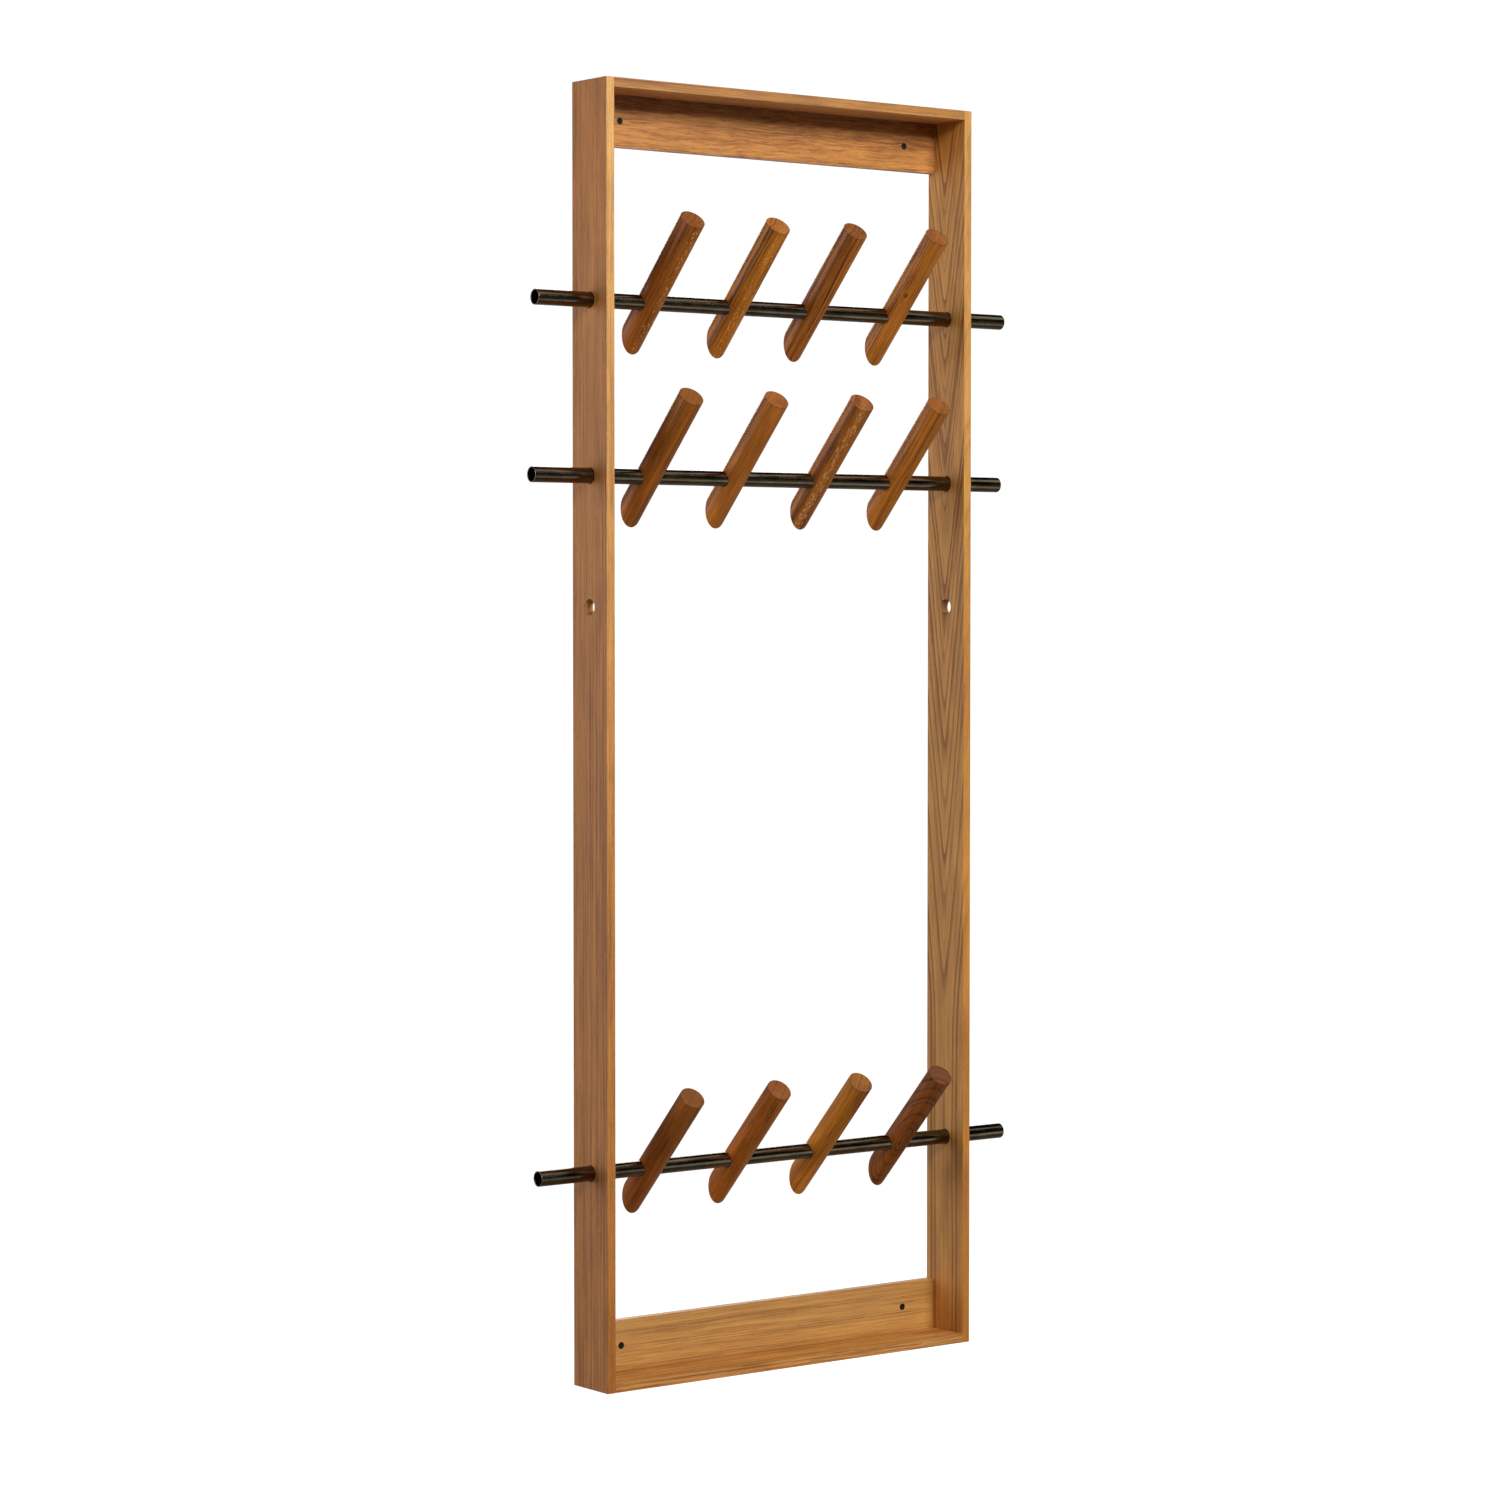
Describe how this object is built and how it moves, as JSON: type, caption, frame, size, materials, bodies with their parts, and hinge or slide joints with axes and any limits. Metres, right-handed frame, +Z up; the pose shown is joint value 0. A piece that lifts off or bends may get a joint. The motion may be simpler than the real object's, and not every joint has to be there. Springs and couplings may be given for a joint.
{
  "type": "wall coat rack",
  "caption": "Tall open oak frame screwed to a wall, with steel tubes through its sides that carry tilting wooden coat pegs resting against the wall.",
  "frame": {"origin": "centre of the four wall screws, on the wall plane that the frame's back rests against", "axes": "+X to the right seen from the front, +Y into the wall, +Z up"},
  "size_m": [0.697, 0.1585, 1.5],
  "materials": {
    "side_board_oak": "oiled oak, satin, straight and cathedral grain along the board",
    "end_board_oak": "oiled oak, satin, grain along the board",
    "back_rail_oak": "oiled oak, satin, wavy grain along the rail",
    "peg_oak": "dark oiled oak, satin, grain along the peg",
    "blackened_steel": "blackened and waxed steel with a faint bronze and olive mottle",
    "black_screw": "black coated steel",
    "dowel_beech": "plain beech"
  },
  "bodies": {
    "frame": {"left_side_board": "side_board_oak", "right_side_board": "side_board_oak", "top_board": "end_board_oak", "bottom_board": "end_board_oak", "top_back_rail": "back_rail_oak", "bottom_back_rail": "back_rail_oak", "top_left_wall_screw": "black_screw", "top_right_wall_screw": "black_screw", "bottom_left_wall_screw": "black_screw", "bottom_right_wall_screw": "black_screw", "top_board_dowels": "dowel_beech", "bottom_board_dowels": "dowel_beech", "top_rail_dowels": "dowel_beech", "bottom_rail_dowels": "dowel_beech"},
    "top_tube": {"top_tube": "blackened_steel"},
    "middle_tube": {"middle_tube": "blackened_steel"},
    "bottom_tube": {"bottom_tube": "blackened_steel"},
    "top_peg_1": {"top_peg_1": "peg_oak"},
    "top_peg_2": {"top_peg_2": "peg_oak"},
    "top_peg_3": {"top_peg_3": "peg_oak"},
    "top_peg_4": {"top_peg_4": "peg_oak"},
    "middle_peg_1": {"middle_peg_1": "peg_oak"},
    "middle_peg_2": {"middle_peg_2": "peg_oak"},
    "middle_peg_3": {"middle_peg_3": "peg_oak"},
    "middle_peg_4": {"middle_peg_4": "peg_oak"},
    "bottom_peg_1": {"bottom_peg_1": "peg_oak"},
    "bottom_peg_2": {"bottom_peg_2": "peg_oak"},
    "bottom_peg_3": {"bottom_peg_3": "peg_oak"},
    "bottom_peg_4": {"bottom_peg_4": "peg_oak"}
  },
  "joints": [
    {"name": "top_tube_slide", "type": "slide", "parent": "frame", "child": "top_tube", "axis": [1, 0, 0], "range_m": [-0.057, 0.069]},
    {"name": "middle_tube_slide", "type": "slide", "parent": "frame", "child": "middle_tube", "axis": [1, 0, 0], "range_m": [-0.055, 0.066]},
    {"name": "bottom_tube_slide", "type": "slide", "parent": "frame", "child": "bottom_tube", "axis": [1, 0, 0], "range_m": [-0.056, 0.062]},
    {"name": "top_peg_1_tilt", "type": "hinge", "parent": "top_tube", "child": "top_peg_1", "pos_m": [-0.186, -0.034, 0.5], "axis": [-1, 0, 0], "range_deg": [0, 52]},
    {"name": "top_peg_2_tilt", "type": "hinge", "parent": "top_tube", "child": "top_peg_2", "pos_m": [-0.064, -0.034, 0.5], "axis": [-1, 0, 0], "range_deg": [0, 52]},
    {"name": "top_peg_3_tilt", "type": "hinge", "parent": "top_tube", "child": "top_peg_3", "pos_m": [0.05, -0.034, 0.5], "axis": [-1, 0, 0], "range_deg": [0, 52]},
    {"name": "top_peg_4_tilt", "type": "hinge", "parent": "top_tube", "child": "top_peg_4", "pos_m": [0.174, -0.034, 0.5], "axis": [-1, 0, 0], "range_deg": [0, 52]},
    {"name": "middle_peg_1_tilt", "type": "hinge", "parent": "middle_tube", "child": "middle_peg_1", "pos_m": [-0.188, -0.034, 0.3], "axis": [-1, 0, 0], "range_deg": [0, 52]},
    {"name": "middle_peg_2_tilt", "type": "hinge", "parent": "middle_tube", "child": "middle_peg_2", "pos_m": [-0.066, -0.034, 0.3], "axis": [-1, 0, 0], "range_deg": [0, 52]},
    {"name": "middle_peg_3_tilt", "type": "hinge", "parent": "middle_tube", "child": "middle_peg_3", "pos_m": [0.06, -0.034, 0.3], "axis": [-1, 0, 0], "range_deg": [0, 52]},
    {"name": "middle_peg_4_tilt", "type": "hinge", "parent": "middle_tube", "child": "middle_peg_4", "pos_m": [0.177, -0.034, 0.3], "axis": [-1, 0, 0], "range_deg": [0, 52]},
    {"name": "bottom_peg_1_tilt", "type": "hinge", "parent": "bottom_tube", "child": "bottom_peg_1", "pos_m": [-0.187, -0.034, -0.5], "axis": [-1, 0, 0], "range_deg": [0, 52]},
    {"name": "bottom_peg_2_tilt", "type": "hinge", "parent": "bottom_tube", "child": "bottom_peg_2", "pos_m": [-0.062, -0.034, -0.5], "axis": [-1, 0, 0], "range_deg": [0, 52]},
    {"name": "bottom_peg_3_tilt", "type": "hinge", "parent": "bottom_tube", "child": "bottom_peg_3", "pos_m": [0.059, -0.034, -0.5], "axis": [-1, 0, 0], "range_deg": [0, 52]},
    {"name": "bottom_peg_4_tilt", "type": "hinge", "parent": "bottom_tube", "child": "bottom_peg_4", "pos_m": [0.181, -0.034, -0.5], "axis": [-1, 0, 0], "range_deg": [0, 52]}
  ]
}
